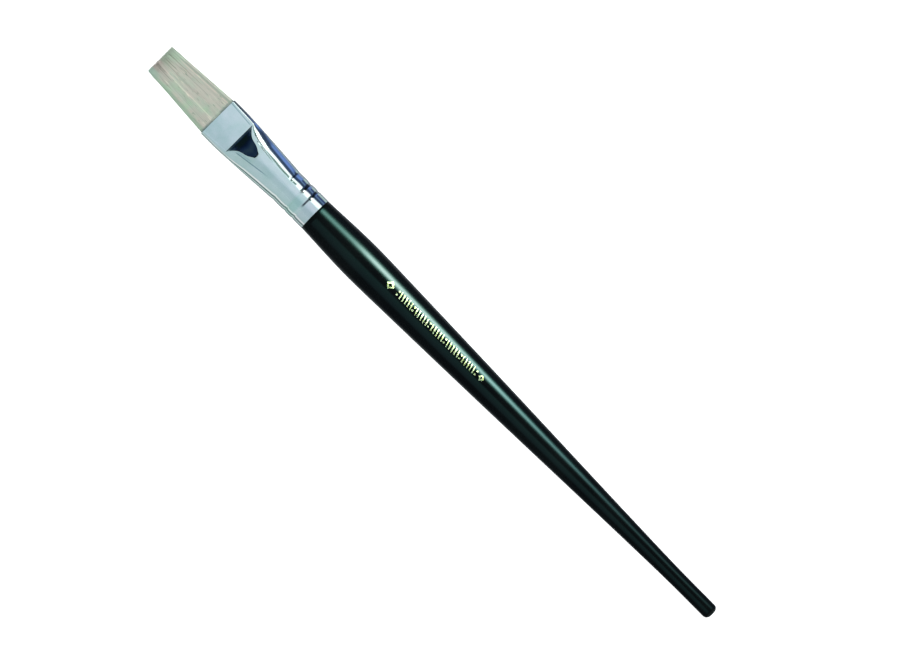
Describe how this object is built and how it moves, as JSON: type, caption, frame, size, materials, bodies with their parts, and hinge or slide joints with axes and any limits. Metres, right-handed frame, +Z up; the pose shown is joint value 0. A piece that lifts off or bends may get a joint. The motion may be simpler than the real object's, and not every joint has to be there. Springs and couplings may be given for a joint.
{
  "type": "flat bristle paint brush",
  "caption": "Long-handled flat bristle brush: square-cut tuft, pressed metal ferrule with rolled crimps and a tapered lacquered wooden handle.",
  "frame": {"origin": "bottom centre of the whole brush's box, under the handle; the belly's lowest line is at z = 0", "axes": "+X along the brush towards the bristle tips, Y across the flat tuft, +Z up through the tuft's thickness"},
  "size_m": [0.34, 0.0208, 0.0184],
  "materials": {
    "handle_wood": "bare turned wood",
    "black_lacquer": "deep black gloss",
    "gold_foil": "hot-stamped foil",
    "nickel": "bright nickel plate",
    "handle_glue": "cured adhesive",
    "setting_resin": "cured resin",
    "binding_thread": "waxed thread",
    "bristle": "natural hog bristle"
  },
  "bodies": {
    "handle": {"wooden_handle": "handle_wood", "lacquer_coat": "black_lacquer", "foil_imprint": "gold_foil", "ferrule": "nickel", "handle_glue": "handle_glue", "setting_resin": "setting_resin", "binding_thread": "binding_thread", "bristle_heel_left": "bristle", "bristle_heel_right": "bristle"},
    "tuft": {"bristle_toe_left": "bristle", "bristle_toe_right": "bristle"}
  },
  "joints": [
    {"name": "tuft_flex", "type": "hinge", "parent": "handle", "child": "tuft", "pos_m": [0.1427, 0, 0.0092], "axis": [0, 1, 0], "range_deg": [-25, 25], "stiffness_Nm_per_rad": 0.1}
  ]
}
